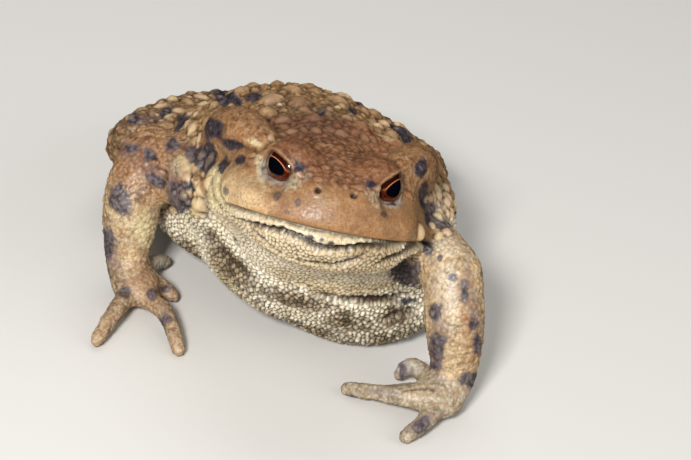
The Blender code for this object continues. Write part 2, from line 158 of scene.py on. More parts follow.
def add_camera():
    camera = placed("camera", bpy.data.cameras.new("camera"))
    turn = Matrix((camera_right, camera_up, camera_back)).transposed().to_4x4()
    turn.translation = camera_place * MM
    camera.matrix_world = turn
    camera.data.lens = LENS
    camera.data.sensor_width = SENSOR
    camera.data.clip_start = 0.01
    bpy.context.scene.camera = camera


# Number fields over many points

CELL_FACTORS = (73856093, 19349663, 83492791)
SCRAMBLERS = (2654435761, 1274126177, 668265263)


def smoothstep(low, high, value):
    """0 below low, rising smoothly to 1 at high."""
    share = np.clip((value - low) / (high - low), 0.0, 1.0)
    return share * share * (3 - 2 * share)


def fade(low, high, value):
    """1 below low, falling smoothly to 0 at high."""
    return 1.0 - smoothstep(low, high, value)


def bump(value, middle, width):
    """1 at the middle, and falling softly away on both sides."""
    return np.exp(-((value - middle) / width) ** 2)


def lattice(cells, seed):
    """A repeatable random number from -1 to 1 for each whole-numbered cell."""
    first, second, third = (cells[:, axis] * CELL_FACTORS[axis] for axis in range(3))
    mixed = first ^ second ^ third
    mixed = (mixed ^ seed * SCRAMBLERS[0]) * SCRAMBLERS[1]
    mixed = (mixed ^ (mixed >> 15)) * SCRAMBLERS[2]
    return ((mixed ^ (mixed >> 17)) & 0xFFFF) / 32767.5 - 1.0


def cloud(points, size, seed, octaves=2):
    """Soft noise from about -1 to 1, whose lumps are this size."""
    total = np.zeros(len(points))
    strength = 1.0
    for octave in range(octaves):
        where = points / (size / 2 ** octave) + 37.1 * seed
        cells = np.floor(where).astype(np.int64)
        share = where - cells
        ease = share * share * (3 - 2 * share)
        for corner in itertools.product((0, 1), repeat=3):
            weight = np.prod(np.where(corner, ease, 1 - ease), axis=1)
            total += strength * weight * lattice(cells + np.array(corner), seed + octave)
        strength *= 0.5
    return total


# The skin as a field of points

CUT_CLOSING = 0.3
COARSE_VOXEL = 0.6
FINE_VOXEL = 0.25
RELAX_STEP = 0.6
TINY = 1e-12


def corners_of(data):
    """The places of a mesh's points."""
    points = np.empty(len(data.vertices) * 3, np.float32)
    data.vertices.foreach_get("co", points)
    return points.reshape(-1, 3)


def tree_of(points):
    """A tree that finds the nearest of these points and gives its index."""
    tree = KDTree(len(points))
    for index, point in enumerate(points):
        tree.insert(point, index)
    tree.balance()
    return tree


class Skin:
    """The points of a closed mesh, their neighbours and normals, in millimetres."""

    def __init__(self, item):
        self.item = item
        data = item.data
        self.points = corners_of(data).astype(float)
        self.count = len(self.points)
        ends = np.empty(len(data.edges) * 2, np.int32)
        data.edges.foreach_get("vertices", ends)
        self.starts, self.ends = ends.reshape(-1, 2).T
        self.links = np.bincount(self.starts, minlength=self.count).astype(float)
        self.links += np.bincount(self.ends, minlength=self.count)
        corners = np.empty(len(data.loops), np.int32)
        data.loops.foreach_get("vertex_index", corners)
        self.quads = corners.reshape(-1, 4)
        self.find_normals()

    def find_normals(self):
        a, b, c, d = (self.points[self.quads[:, k]] for k in range(4))
        facing = np.cross(c - a, d - b)
        self.normals = np.empty_like(self.points)
        for axis in range(3):
            self.normals[:, axis] = sum(
                np.bincount(self.quads[:, k], facing[:, axis], self.count) for k in range(4)
            )
        self.normals /= np.linalg.norm(self.normals, axis=1)[:, None] + TINY

    def mean_around(self, values):
        """The mean of each point's neighbours."""
        total = np.bincount(self.starts, values[self.ends], self.count)
        total += np.bincount(self.ends, values[self.starts], self.count)
        return total / self.links

    def soften(self, values, rounds):
        """A mask, blurred over the skin."""
        for _ in range(rounds):
            values = 0.5 * values + 0.5 * self.mean_around(values)
        return values

    def relax(self, rounds, weight, fill=None):
        """Smooths the points by weight, or their hollows by fill, where that is given."""
        for step in range(rounds):
            pull = np.stack([self.mean_around(self.points[:, k]) for k in range(3)], 1)
            pull -= self.points
            share = weight
            if fill is not None:
                if step % 4 == 0:
                    self.find_normals()
                hollow = (pull * self.normals).sum(1) > 0
                share = np.where(hollow, fill, weight)
            self.points += RELAX_STEP * share[:, None] * pull
        self.find_normals()

    def raise_by(self, height):
        """Moves each point along its normal."""
        self.points += height[:, None] * self.normals

    def store(self):
        self.item.data.vertices.foreach_set("co", self.points.astype(np.float32).ravel())
        self.item.data.update()


def remeshed(item, voxel):
    """One closed skin of even quads round everything in an object."""
    step = item.modifiers.new("grid", "REMESH")
    step.mode = "VOXEL"
    step.voxel_size = voxel
    graph = bpy.context.evaluated_depsgraph_get()
    data = bpy.data.meshes.new_from_object(item.evaluated_get(graph))
    item.modifiers.clear()
    item.data = data
    return item


def node_points(name):
    return corners_of(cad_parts[name].data) / MM


def all_nodes_joined():
    """Every node, pushed out to close the cuts between them, as one mesh in millimetres."""
    whole = bmesh.new()
    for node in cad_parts.values():
        piece = bmesh.new()
        piece.from_mesh(node.data)
        bmesh.ops.scale(piece, verts=piece.verts, vec=(1 / MM,) * 3)
        bmesh.ops.remove_doubles(piece, verts=piece.verts, dist=0.002)
        piece.normal_update()
        places = [corner.co + corner.normal * CUT_CLOSING for corner in piece.verts]
        for corner, place in zip(piece.verts, places):
            corner.co = place
        pushed = finished("piece", piece)
        whole.from_mesh(pushed)
        bpy.data.meshes.remove(pushed)
    return placed("skin", finished("skin", whole))


def meeting_place(name, other, reach):
    """The middle of the points with which a node meets another."""
    tree = tree_of(node_points(other))
    near = [point for point in node_points(name) if tree.find(point)[2] < reach]
    return np.mean(near, axis=0) if near else node_points(name).mean(axis=0)


# a limb, what it leaves, how close the two lie there, and how far the fillet reaches
FILLETS = (
    ("upper_arm", "torso", 1.5, 11.0),
    ("forearm", "upper_arm", 1.0, 7.0),
    ("hand", "forearm", 1.0, 5.0),
    ("thigh", "torso", 1.5, 13.0),
    ("foot", "shank", 1.5, 5.0),
)
FILL_ELSEWHERE = 0.25
HEAD_FILL = 0.08
UNDER_JAW = LIP_FRONT - 2.0
FIRST_ROUNDS = 12
FILL_ROUNDS = 90


def on_side(name, side):
    """The name of a node that is there on both sides, or of the torso."""
    return name if name == "torso" else name + "_" + side


def coarse_skin():
    """The whole toad as one soft skin, with fillets where the limbs leave the body."""
    skin = Skin(remeshed(all_nodes_joined(), COARSE_VOXEL))
    fill = np.full(skin.count, FILL_ELSEWHERE)
    for side, (limb, other, closeness, reach) in itertools.product(SIDES, FILLETS):
        place = meeting_place(on_side(limb, side), on_side(other, side), closeness)
        gap = np.linalg.norm(skin.points - place, axis=1)
        fill = np.maximum(fill, fade(0.5 * reach, reach, gap))
    on_head = label_of(skin.points) == "head"
    above = head_axes(skin.points)[2]
    # the chin and throat are smoothed out, because their folds are carved anew
    under_jaw = on_head & (above < UNDER_JAW)
    fill = np.where(under_jaw, 1.0, fill)
    skin.relax(FIRST_ROUNDS, np.where(on_head, 0.35, 0.6))
    firm = np.where(on_head, 0.01, 0.05)
    firm = np.where(under_jaw, 0.12, firm)
    skin.relax(FILL_ROUNDS, firm, np.where(on_head & ~under_jaw, HEAD_FILL, fill))
    return skin


def label_of(points):
    """The name of the node that lies nearest to each point."""
    names = sorted(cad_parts)
    clouds = [node_points(name) for name in names]
    tree = tree_of(np.concatenate(clouds))
    owners = np.repeat(names, [len(spots) for spots in clouds])
    return owners[[tree.find(point)[1] for point in points]]


# Places that the photograph shows, cast on to the skin

def pixels_of(points):
    """Where points show in the photograph."""
    offset = points - np.array(camera_place)
    depth = -(offset @ np.array(camera_back))
    across = PHOTO_SIZE[0] / 2 + PIXELS * (offset @ np.array(camera_right)) / depth
    down = PHOTO_SIZE[1] / 2 - PIXELS * (offset @ np.array(camera_up)) / depth
    return across, down


class Sight:
    """Casts the photograph's pixels on to a surface."""

    def __init__(self, skin):
        self.surface = BVHTree.FromPolygons(skin.points.tolist(), skin.quads.tolist())

    def place(self, pixel):
        across, above = slopes(pixel)
        ray = camera_right * across + camera_up * above - camera_back
        return self.surface.ray_cast(camera_place, ray.normalized())[0]

    def line(self, pixels, step=0.3):
        """Places all along a line through pixels."""
        places = []
        for start, end in zip(pixels, pixels[1:]):
            a, b = self.place(start), self.place(end)
            if a is None or b is None:
                continue
            count = max(1, int((b - a).length / step))
            for k in range(count):
                spot = self.surface.find_nearest(a.lerp(b, k / count))[0]
                places.append(spot)
        return places


coarse = coarse_skin()
coarse.store()
sight = Sight(coarse)
skin = Skin(remeshed(coarse.item, FINE_VOXEL))
skin.relax(3, np.full(skin.count, 0.8))


# Lids: the skin stands over the eyeball outside an opening, and sinks behind it inside

# gaze to the side, forward and up; lean; half length; half heights over and under the middle
EYES = {
    "right": ((0.813, 0.571, 0.110), 0.23, 3.3, 1.9, 2.8),
    "left": ((0.731, 0.633, 0.257), 0.40, 3.55, 1.95, 2.4),
}
LID_SQUARENESS = 2.6
LID_RISE = 0.45
LID_SINK = 0.9
LID_RADIUS = EYE_RADIUS + LID_RISE
AROUND_EYE = 9.5  # as far from an eyeball's middle as its lids reach
OUT_OF_LIDS = 4.5  # and as far out of its opening
FAR = 99.0


def eye_axes(name):
    """The centre of an eyeball, and its backward, upward and gaze directions."""
    side = SIDES[name]
    across, forward, up = EYE_CENTRE
    aim, lean, *_ = EYES[name]
    centre = head_spot(side * across, forward, up)
    gaze = head_way(side * aim[0], aim[1], aim[2]).normalized()
    lift = head_way(side * 0.1, lean, 1.0)
    along = lift.cross(gaze).normalized() * side
    lift = (gaze.cross(along) * side).normalized()
    return centre, along, lift, gaze


def around_eye(name):
    """How each point lies to one eye.

    The offset from its centre, the distance, how far out of the opening it is, and
    how much it belongs to the upper lid.
    """
    centre, along, lift, gaze = (np.array(way) for way in eye_axes(name))
    _, _, length, over, under = EYES[name]
    offset = skin.points - centre
    radius = np.linalg.norm(offset, axis=1)
    turn = np.arctan2(offset @ lift, offset @ along)
    away = np.arccos(np.clip(offset @ gaze / radius, -1, 1))
    height = np.where(turn > 0, over, under)
    edge = (np.abs(np.cos(turn)) / length) ** LID_SQUARENESS
    edge += (np.abs(np.sin(turn)) / height) ** LID_SQUARENESS
    edge **= -1 / LID_SQUARENESS
    out = EYE_RADIUS * (away - np.arcsin(edge / EYE_RADIUS))
    return offset, radius, out, smoothstep(-0.2, 0.2, np.sin(turn))


def shape_lids(name):
    """Draws the skin round one eye on to the eyeball, with a rim and creases."""
    offset, radius, out, upper = around_eye(name)
    near = (out < OUT_OF_LIDS) & (radius < AROUND_EYE)
    proud = radius - LID_RADIUS
    wanted = LID_RADIUS - (LID_SINK + LID_RISE) * fade(-0.4, 0.3, out)
    hold = fade(0.6, 3.0 - 0.8 * upper, out)
    far = upper * smoothstep(0.3, 1.3, proud) + (1 - upper) * smoothstep(1.6, 3.4, proud)
    hold *= 1.0 - far * smoothstep(-0.3, 0.3, out)
    rim = bump(out, 0.5, 0.35) * (0.16 + 0.06 * upper)
    crease = bump(out, 1.3, 0.3) * (0.3 - 0.1 * upper)
    crease += bump(out, 2.4, 0.35) * 0.18 * (1 - upper)
    close = fade(0.8, 2.4, proud)
    target = hold * wanted + (1 - hold) * radius + close * (rim - crease)
    scale = np.where(near, target / radius, 1.0)
    skin.points += offset * (scale - 1.0)[:, None]


for name in SIDES:
    shape_lids(name)
# even quads again, because the lids' skin was pulled askew
skin.store()
skin = Skin(remeshed(skin.item, FINE_VOXEL))
skin.relax(2, np.full(skin.count, 0.5))
tree = tree_of(skin.points)

lid_gap = np.full(skin.count, FAR)  # how far out of an eye's opening, close to the eye
eye_gap = np.full(skin.count, FAR)  # from the middle of the nearer eyeball
upper_lid = np.zeros(skin.count)
snug_lid = np.zeros(skin.count)
for name in SIDES:
    _, radius, out, upper = around_eye(name)
    nearer = (radius < eye_gap) & (radius < AROUND_EYE)
    upper_lid[nearer] = upper[nearer]
    lid_gap[nearer] = out[nearer]
    snug_lid[nearer] = fade(0.6, 1.6, radius[nearer] - LID_RADIUS)
    eye_gap = np.minimum(eye_gap, radius)
at_eyeball = eye_gap < LID_RADIUS + 0.5
sunk = (lid_gap < -0.1) & at_eyeball

label = label_of(skin.points)


def lies_on(*starts):
    """Which points lie nearest to nodes whose names start so."""
    return np.any([np.char.startswith(label, start) for start in starts], axis=0)


on_head = lies_on("head", "eye")
on_torso = lies_on("torso")
on_hand = lies_on("hand", "foot")
on_arm = lies_on("upper_arm", "forearm")
on_leg = lies_on("thigh", "shank")

aside, ahead, above = head_axes(skin.points)
mouth_turn = np.arctan2(aside / (HEAD_WIDTH / 2), (ahead - MOUTH_CORNER) / HEAD_LENGTH)
over_mouth = above - (LIP_FRONT - LIP_FALL * (1 - np.cos(mouth_turn)))
in_mouth = fade(math.radians(80), math.radians(92), np.abs(mouth_turn))
pixel_x, pixel_y = pixels_of(skin.points)
# the line ends sooner on the side that lies in folds
in_mouth *= smoothstep(219, 233, pixel_x) * on_head

relief = np.zeros(skin.count)
masks = {}


# Folds and creases: the mouth line by places on the head, the others by their pixels

def groove(places, width, depth):
    """The height of a rounded line pressed into the skin, shallower at its ends."""
    press = np.zeros(skin.count)
    for k, place in enumerate(places):
        taper = math.sin(math.pi * (k + 1) / (len(places) + 1)) ** 0.5
        wander = 1.0 + 0.25 * math.sin(1.7 * k) * math.sin(0.6 * k)
        reach = width * (0.45 + 0.55 * taper) * wander
        for _, index, distance in tree.find_range(place, reach):
            share = taper * (1 - (distance / reach) ** 2) ** 2
            if share > press[index]:
                press[index] = share
    return -depth * press


MOUTH_DEPTH = 1.1
LIP_SWELL = 0.35
relief -= MOUTH_DEPTH * bump(over_mouth, 0.0, 0.42) * in_mouth * (ahead > MOUTH_CORNER)
relief += LIP_SWELL * bump(over_mouth, -1.2, 0.7) * in_mouth

CHIN_CREASE = (
    (226, 213), (241, 221), (258, 226), (284, 232), (301, 239), (314, 248), (331, 251),
    (344, 250), (360, 247.5), (378, 247), (392, 247), (404, 246), (414, 241),
)
THROAT_CREASE = (
    (248, 226), (256, 234), (266, 244), (278, 253), (291, 259), (311, 264), (331, 266),
    (344, 264), (358, 259), (368, 252),
)
JAW_SHADOW = ((376, 265), (384, 261), (397, 256), (410, 250), (426, 241))
CHEST_CREASE = ((316, 292), (339, 299), (365, 300), (387, 299), (398, 296), (418, 291))
LOWER_CHEST_CREASE = ((380, 322), (395, 315), (408, 311), (421, 308))
FLANK_FOLD = ((205, 226), (214, 240), (228, 258), (246, 274), (270, 287))
CHEST_FOLD = ((285, 284), (304, 283), (322, 280), (338, 274))
BACK_GROOVE = ((311, 97), (318, 110), (320, 121))
GLAND_CREASE = ((222, 139), (234, 143), (246, 147), (257, 151), (263, 155))
BEHIND_BROW = ((263, 150), (268, 143), (275, 138), (288, 137), (301, 137))
BEHIND_LEFT_BROW = ((401, 173), (396, 163), (389, 158), (378, 153), (366, 148))
MOUTH_FOLDS = (
    ((224, 168), (219, 179), (219, 193), (226, 204)),
    ((216, 170), (211, 183), (213, 197), (222, 208)),
    ((211, 196), (217, 205), (228, 213)),
    ((206, 205), (213, 214), (225, 221)),
    ((203, 212), (211, 221)),
)
ELBOW_FOLDS = (
    ((124, 140), (136, 132), (150, 129), (164, 131)),
    ((121, 147), (134, 139), (149, 136), (163, 139)),
    ((160, 164), (154, 158), (147, 155)),
    ((164, 171), (156, 166), (147, 165)),
)
ARMPIT = ((165, 172), (163, 180), (160, 190))
HAND_FOLDS = (
    ((394, 385), (405, 381), (418, 377)),
    ((405, 391), (416, 388), (428, 388), (440, 392)),
)

# the deepest parts of the creases get painted shade, by the crease mask
masks["crease"] = np.zeros(skin.count)
for pixels, width, depth in (
    (CHIN_CREASE, 1.45, 1.7),
    (THROAT_CREASE, 1.35, 1.45),
    (JAW_SHADOW, 1.8, 1.7),
    (CHEST_CREASE, 1.5, 1.2),
    (LOWER_CHEST_CREASE, 1.5, 1.0),
    (FLANK_FOLD, 3.0, 0.8),
    (CHEST_FOLD, 3.0, 0.7),
    (BACK_GROOVE, 0.8, 0.5),
    (GLAND_CREASE, 0.8, 0.45),
    (BEHIND_BROW, 0.8, 0.45),
    (BEHIND_LEFT_BROW, 0.8, 0.45),
    (ARMPIT, 1.6, 1.0),
    *((fold, 0.9, 0.6) for fold in MOUTH_FOLDS),
    *((fold, 0.7, 0.4) for fold in ELBOW_FOLDS + HAND_FOLDS),
):
    pressed = groove(sight.line(pixels), width, depth)
    relief += pressed
    masks["crease"] = np.maximum(masks["crease"], np.clip(1.2 * (-pressed - 0.45), 0, 1))


def distance_to(place):
    """How far each point is from a place."""
    return np.linalg.norm(skin.points - np.array(place), axis=1)


NOSTRILS = ((318, 190), (354, 195.5))
NOSTRIL_DEPTH = 1.1
NOSTRIL_RIM = 0.12
masks["nostril"] = np.zeros(skin.count)
for pixel in NOSTRILS:
    gap = distance_to(sight.place(pixel))
    relief -= NOSTRIL_DEPTH * bump(gap, 0.0, 0.5)
    relief += NOSTRIL_RIM * bump(gap, 1.0, 0.4) * (gap < 3)
    masks["nostril"] = np.maximum(masks["nostril"], bump(gap, 0.0, 0.62))


# Where each kind of skin lies

# the parotoid gland behind an eye: side, forward and up on the head
GLAND_LINE = (
    (12.0, -8.0, 0.6), (14.8, -12.5, 0.6), (17.0, -18.5, -0.6), (18.6, -24.0, -3.2),
)
GLAND_REACH = (4.6, 6.0)


def near_gland():
    """How much each point lies on one of the two glands."""
    share = np.zeros(skin.count)
    for side in SIDES.values():
        spots = [head_spot(side * x, y, z) for x, y, z in GLAND_LINE]
        for start, end in zip(spots, spots[1:]):
            run = np.array(end - start)
            offset = skin.points - np.array(start)
            where = np.clip(offset @ run / (run @ run), 0, 1)
            gap = np.linalg.norm(offset - where[:, None] * run, axis=1)
            share = np.maximum(share, fade(*GLAND_REACH, gap))
    return share


x, y, z = skin.points.T
facing_up = skin.normals[:, 2]
low_edge = 12.0 + 13.0 * fade(-13.0, 5.0, y) + 1.6 * cloud(skin.points, 6.0, 3)
belly = on_torso * fade(-2.5, 2.5, z - low_edge) * (facing_up < 0.45)
throat = on_head * fade(-0.25, 0.15, over_mouth)
masks["chin"] = 0.75 * skin.soften(throat, 3)
masks["belly"] = skin.soften(np.clip(belly + throat * (ahead > -24), 0, 1), 3)
masks["gland"] = skin.soften(near_gland() * (on_head | on_torso), 6)
jaw = on_head * smoothstep(0.0, 0.3, over_mouth)
ragged = cloud(skin.points, 1.6, 31, 3)
crown_width = np.where(ahead > -2.0, 7.6 - 0.42 * ahead, 30.0) + 0.5 * ragged
crown = jaw * smoothstep(-3.2, -0.6, above + 0.6 * ragged)
crown *= 1.0 - smoothstep(-0.6, 0.6, np.abs(aside) - crown_width) * (above < 1.2)
crown = np.maximum(crown, jaw * upper_lid * (lid_gap < 3.0))
crown *= fade(7.2, 9.8, ahead + 0.5 * ragged)
masks["crown"] = skin.soften(crown, 4)
masks["jaw"] = skin.soften(jaw, 1)
masks["snout"] = jaw * smoothstep(-6.0, 0.0, ahead) * (1 - masks["crown"])
masks["limb"] = skin.soften((on_arm | on_hand) * 1.0, 14)
masks["elbow"] = smoothstep(15.0, 26.0, z + 2.0 * cloud(skin.points, 5.0, 7)) * (x < 0)
masks["hand"] = skin.soften(on_hand * 1.0, 12)
masks["tanned"] = (x < 0) * 1.0
masks["leg"] = skin.soften(on_leg * 1.0, 14)
lower_lid = (1 - upper_lid) * snug_lid
masks["lid"] = fade(0.5, 1.1, lid_gap + 0.15 * ragged) * lower_lid
# a thin dark line where the lids meet the eyeball, painted shade of the lids
masks["rim"] = bump(lid_gap, 0.02, 0.16) * snug_lid * at_eyeball
masks["brow"] = bump(lid_gap, 0.5, 0.16) * upper_lid
# a bare lip runs under the mouth line, and widens into the chin at the front
lip_height = 1.25 + 1.8 * bump(mouth_turn, -0.12, 0.2)
lip = throat * fade(lip_height - 0.5, lip_height + 0.1, -over_mouth)
lip *= fade(math.radians(75), math.radians(90), np.abs(mouth_turn))
lip *= smoothstep(222, 234, pixel_x)
masks["lip"] = skin.soften(lip, 2)


# Warts and granules

dome = np.zeros(skin.count)
moat = np.zeros(skin.count)
warts = np.zeros(skin.count)  # how far up a wart each point is
pale = np.zeros(skin.count)  # the same for pale warts only
wart_tint = np.zeros(skin.count)  # a number of its own for each wart
MOAT_WIDTH = 0.35
MOAT_DEPTH = 0.16
CELLS_WIDE = 4096


def wart(place, radius, height, is_pale):
    """Raises a low, uneven dome with a faint moat round it."""
    tint = random.uniform(-1, 1)
    squeeze = random.uniform(-0.25, 0.25)
    swing = random.uniform(0, math.tau)
    for spot, index, distance in tree.find_range(place, (1 + MOAT_WIDTH) * radius):
        swirl = math.atan2(spot.y - place[1], spot.x - place[0])
        share = distance / (radius * (1 + squeeze * math.cos(2 * swirl + swing)))
        share *= 1 + 0.16 * ragged[index]
        if share < 1:
            rise = (1 - share * share) ** 1.15
            if rise > warts[index]:
                warts[index] = rise
                wart_tint[index] = tint
                pale[index] = max(pale[index], is_pale * min(1.0, 2.2 * rise))
            dome[index] = max(dome[index], height * rise)
        else:
            dip = MOAT_DEPTH * height * (1 + MOAT_WIDTH - share) / MOAT_WIDTH
            moat[index] = max(moat[index], dip)


def scatter(mask, spacing):
    """Points of the skin where a mask holds, about this far apart."""
    candidates = chance.permutation(np.flatnonzero(mask))
    cells = np.floor(skin.points[candidates] / (0.4 * spacing)).astype(np.int64)
    cells = (cells + CELLS_WIDE // 2) @ np.array([1, CELLS_WIDE, CELLS_WIDE ** 2])
    _, first = np.unique(cells, return_index=True)
    candidates = candidates[np.sort(first)]
    spots = tree_of(skin.points[candidates])
    dropped = np.zeros(len(candidates), bool)
    for order, index in enumerate(candidates):
        if not dropped[order]:
            for _, other, _ in spots.find_range(skin.points[index], spacing):
                if other > order:
                    dropped[other] = True
    return candidates[~dropped]


# pixel, radius, height and how pale
PHOTO_WARTS = (
    ((203, 190), 2.0, 1.5, 0.9), ((200, 204), 2.1, 1.7, 0.9), ((208, 183), 1.4, 0.8, 0.7),
    ((420, 233), 1.9, 0.9, 1.0), ((193, 131), 1.3, 0.9, 1.0), ((272, 99), 2.4, 0.9, 0.35),
    ((282, 121), 1.7, 0.9, 0.2), ((291, 133), 1.5, 0.8, 0.2), ((281, 136), 1.1, 0.6, 0.2),
    ((272, 137), 1.0, 0.6, 0.3), ((304, 131), 1.1, 0.6, 0.1), ((316, 131), 1.3, 0.7, 0.15),
    ((304, 110), 1.3, 0.7, 0.1), ((312, 117), 1.2, 0.6, 0.2), ((341, 134), 1.4, 0.7, 0.15),
    ((347, 119), 1.3, 0.8, 0.2), ((342, 107), 1.2, 0.7, 0.1), ((322, 111), 1.1, 0.5, 0.2),
    ((378, 127), 1.2, 0.8, 0.9), ((387, 140), 1.5, 0.8, 0.4), ((365, 138), 1.1, 0.6, 0.1),
    ((330, 146), 0.9, 0.4, 0.1), ((322, 145), 1.1, 0.4, 0.1), ((160, 107), 1.3, 0.9, 0.9),
    ((172, 100), 1.5, 0.9, 0.8), ((178, 112), 1.4, 0.8, 0.9), ((190, 116), 1.2, 0.8, 0.9),
    ((168, 117), 1.0, 0.7, 0.9), ((186, 166), 2.6, 0.5, 0.3), ((437, 195), 1.6, 0.9, 1.0),
    ((445, 189), 1.4, 0.9, 1.0), ((446, 203), 1.3, 0.9, 1.0), ((438, 218), 1.3, 0.8, 1.0),
    ((432, 226), 1.0, 0.6, 0.9), ((447, 232), 1.2, 0.7, 0.8), ((439, 236), 1.1, 0.7, 0.9),
)
for pixel, radius, height, is_pale in PHOTO_WARTS:
    place = sight.place(pixel)
    if place is not None:
        wart(place, radius, height, is_pale)

smooth_head = np.maximum(masks["gland"], masks["jaw"] * (1 - masks["crown"]))
clear_skin = (smooth_head < 0.3) & (masks["belly"] < 0.4) & (eye_gap > 6.4)
back = on_torso & clear_skin
flank = back & (facing_up < 0.55)
# where, spacing, smallest and largest radius, height for each radius, how pale
WART_FIELDS = (
    (back & (facing_up > 0.35), 4.0, 1.1, 2.2, 0.50, 0.05),
    (back & (facing_up > 0.35), 2.1, 0.5, 1.0, 0.48, 0.08),
    (flank, 3.0, 0.9, 1.7, 0.5, 0.85),
    (flank, 1.8, 0.5, 0.9, 0.5, 0.85),
    (on_head & clear_skin & (over_mouth > 1), 2.4, 0.7, 1.25, 0.42, 0.0),
    (on_head & clear_skin & (over_mouth > 1), 1.4, 0.4, 0.7, 0.42, 0.0),
    (on_leg & (facing_up > -0.3), 3.2, 0.7, 1.5, 0.45, 0.1),
    (on_leg & (facing_up > -0.3), 1.8, 0.4, 0.8, 0.45, 0.15),
    (on_arm, 1.9, 0.4, 0.8, 0.28, 0.0),
    (on_hand, 1.5, 0.3, 0.6, 0.28, 0.0),
)
for mask, spacing, least, most, slope, paleness in WART_FIELDS:
    for index in scatter(mask, spacing):
        radius = random.uniform(least, most)
        is_pale = 1.0 if random.random() < paleness else 0.0
        wart(skin.points[index], radius, slope * radius, is_pale)

# where, spacing, height of the granules
GRANULE_FIELDS = (
    (masks["belly"] * on_torso, 0.78, 0.36),
    (masks["belly"] * on_head * (1 - masks["lip"]), 0.62, 0.26),
    (masks["lip"] * 1.1, 0.8, 0.09),
    (masks["leg"] + masks["limb"] * (1 - masks["hand"]), 0.85, 0.12),
    (masks["hand"], 0.75, 0.10),
    (jaw * (1 - masks["crown"]), 0.6, 0.035),
    (masks["crown"], 0.75, 0.06),
    (on_torso * (1 - masks["belly"]), 0.9, 0.15),
)
SITES_TRIED = 4
LEAD = 0.17
granule_height = np.zeros(skin.count)
granule_size = np.full(skin.count, 1.0)
sites = []
shares = np.stack([field[0] for field in GRANULE_FIELDS])
chosen = shares.argmax(axis=0)
for kind, (share, spacing, height) in enumerate(GRANULE_FIELDS):
    mine = chosen == kind
    granule_height[mine] = height
    granule_size[mine] = spacing
    sites.append(scatter(mine, spacing))
sites = np.concatenate(sites)
granule_height = skin.soften(granule_height, 6) * (1 - 0.6 * masks["crease"])
granule_size = skin.soften(granule_size, 6)
site_tree = tree_of(skin.points[sites])
found = [site_tree.find_n(point, SITES_TRIED) for point in skin.points]
distances = np.array([[site[2] for site in sites_near] for sites_near in found])
owners = np.array([[site[1] for site in sites_near] for sites_near in found])
# a random head start makes some granules larger than others
lead = chance.uniform(-LEAD, LEAD, len(sites))
distances -= lead[owners] * granule_size[:, None]
order = np.argsort(distances, axis=1)
nearest = np.take_along_axis(distances, order, 1)[:, 0]
second = np.take_along_axis(distances, order, 1)[:, 1]
own = np.take_along_axis(owners, order, 1)[:, 0]
inside = smoothstep(0.0, 0.5, (second - nearest) / granule_size)
tints = chance.uniform(-1, 1, len(sites))
granule = (0.35 + 0.65 * inside) * fade(0.05, 0.72, nearest / granule_size)
granule += 0.25 * inside
uneven = 1 + 0.35 * tints[own] + 0.3 * cloud(skin.points, 5.0, 11)
flatter = 1 - 0.5 * np.clip(warts * 1.5, 0, 1)
relief += granule_height * granule * np.clip(uneven, 0.3, 1.8) * flatter
relief += dome - moat * (warts == 0)

# pores of the glands, and fine wrinkles over the arms and hands
PORE_RADIUS = 0.42
PORE_DEPTH = 0.13
for index in scatter(masks["gland"] > 0.6, 1.25):
    for _, point, distance in tree.find_range(skin.points[index], PORE_RADIUS):
        relief[point] -= PORE_DEPTH * (1 - (distance / PORE_RADIUS) ** 2)
LIMB_STRETCH = np.array([1.0, 1.0, 2.2])
WRINKLE_HEIGHT = 0.16
wrinkle = 1 - np.abs(cloud(skin.points * LIMB_STRETCH, 3.0, 21))
relief += WRINKLE_HEIGHT * (masks["limb"] + masks["leg"]) * (wrinkle - 0.6)
relief *= np.where(sunk, 0.0, 1.0)
masks["grain"] = inside
masks["tint"] = 0.5 + 0.5 * tints[own]
masks["wart"] = np.clip(1.3 * warts, 0, 1)
masks["wart_tint"] = 0.5 + 0.5 * wart_tint


# Blotches and patches of colour

